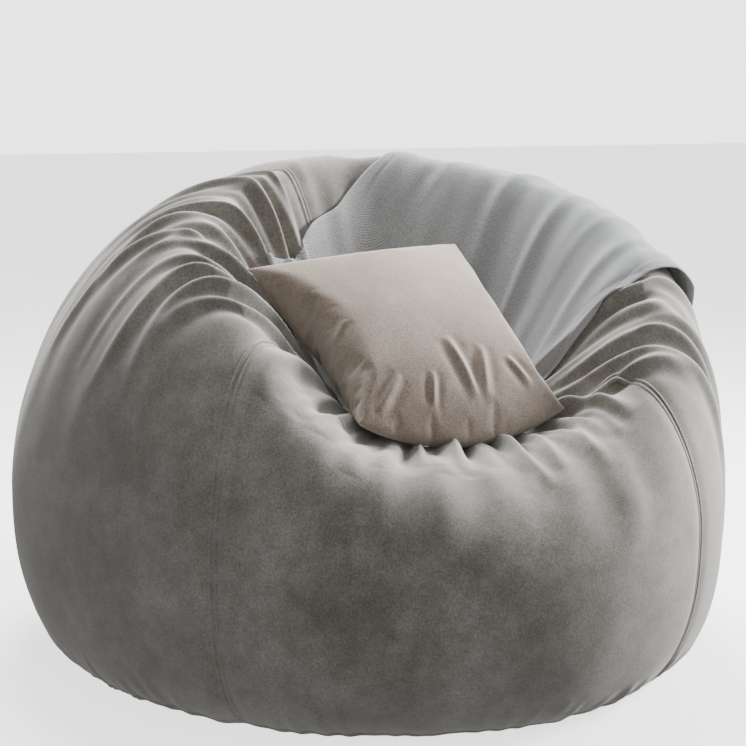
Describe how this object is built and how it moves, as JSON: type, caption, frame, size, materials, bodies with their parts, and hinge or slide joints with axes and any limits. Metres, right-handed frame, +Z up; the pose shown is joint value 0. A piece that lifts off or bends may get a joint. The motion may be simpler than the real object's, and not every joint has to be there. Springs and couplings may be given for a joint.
{
  "type": "bean bag chair",
  "caption": "Round velvet bean bag chair with a sunk seat, inner liner, zips in the base, and a lift-off throw and scatter cushion.",
  "frame": {"origin": "centre of the bounding box in plan, on the floor under the base", "axes": "+Z up; the seat opens to the front, -Y; +X is the right arm seen from the front"},
  "size_m": [1.1496, 1.2466, 0.8001],
  "materials": {
    "velvet_cover": "short-pile velvet, warm grey",
    "liner_cloth": "plain woven polyester",
    "zip_tape": "woven tape",
    "zip_coil": "nylon coil",
    "zip_metal": "plated zinc",
    "beads": "expanded polystyrene beads",
    "throw_wool": "fine twill, blue-grey",
    "label_satin": "woven satin tab, blank",
    "cushion_velvet": "short-pile velvet, taupe",
    "ticking": "plain woven cotton",
    "fibre": "polyester fibre"
  },
  "bodies": {
    "chair": {"bead_fill": "beads", "care_label": "label_satin", "cover_back_panel": "velvet_cover", "cover_base_front_half": "velvet_cover", "cover_base_rear_half": "velvet_cover", "cover_crown_patch": "velvet_cover", "cover_front_panel": "velvet_cover", "cover_left_panel": "velvet_cover", "cover_right_panel": "velvet_cover", "cover_zip_coil_front": "zip_coil", "cover_zip_coil_rear": "zip_coil", "cover_zip_stops": "zip_coil", "cover_zip_tape_front": "zip_tape", "cover_zip_tape_rear": "zip_tape", "liner_back_panel": "liner_cloth", "liner_base_front_half": "liner_cloth", "liner_base_rear_half": "liner_cloth", "liner_crown_patch": "liner_cloth", "liner_front_panel": "liner_cloth", "liner_left_panel": "liner_cloth", "liner_right_panel": "liner_cloth", "liner_zip_coil_front": "zip_coil", "liner_zip_coil_rear": "zip_coil", "liner_zip_stops": "zip_coil", "liner_zip_tape_front": "zip_tape", "liner_zip_tape_rear": "zip_tape"},
    "cover_zip_slider": {"cover_zip_slider": "zip_metal"},
    "cover_zip_pull": {"cover_zip_pull": "zip_metal"},
    "liner_zip_slider": {"liner_zip_slider": "zip_metal"},
    "throw": {"throw_blanket": "throw_wool"},
    "cushion": {"cushion_back_panel": "cushion_velvet", "cushion_fibre_fill": "fibre", "cushion_front_panel": "cushion_velvet", "cushion_pad_back_panel": "ticking", "cushion_pad_front_panel": "ticking"}
  },
  "joints": [
    {"name": "cover_zip_slide", "type": "slide", "parent": "chair", "child": "cover_zip_slider", "axis": [1, 0, 0], "range_m": [0, 0.34]},
    {"name": "cover_zip_pull_swing", "type": "hinge", "parent": "cover_zip_slider", "child": "cover_zip_pull", "pos_m": [-0.1794, -0.026, 0.00145], "axis": [0, 1, 0], "range_deg": [0, 150]},
    {"name": "liner_zip_slide", "type": "slide", "parent": "chair", "child": "liner_zip_slider", "axis": [1, 0, 0], "range_m": [0, 0.31]},
    {"name": "throw_lift", "type": "slide", "parent": "chair", "child": "throw", "axis": [0, 0, 1], "range_m": [0, 0.6]},
    {"name": "cushion_lift", "type": "slide", "parent": "throw", "child": "cushion", "axis": [0, 0, 1], "range_m": [0, 0.5]}
  ]
}
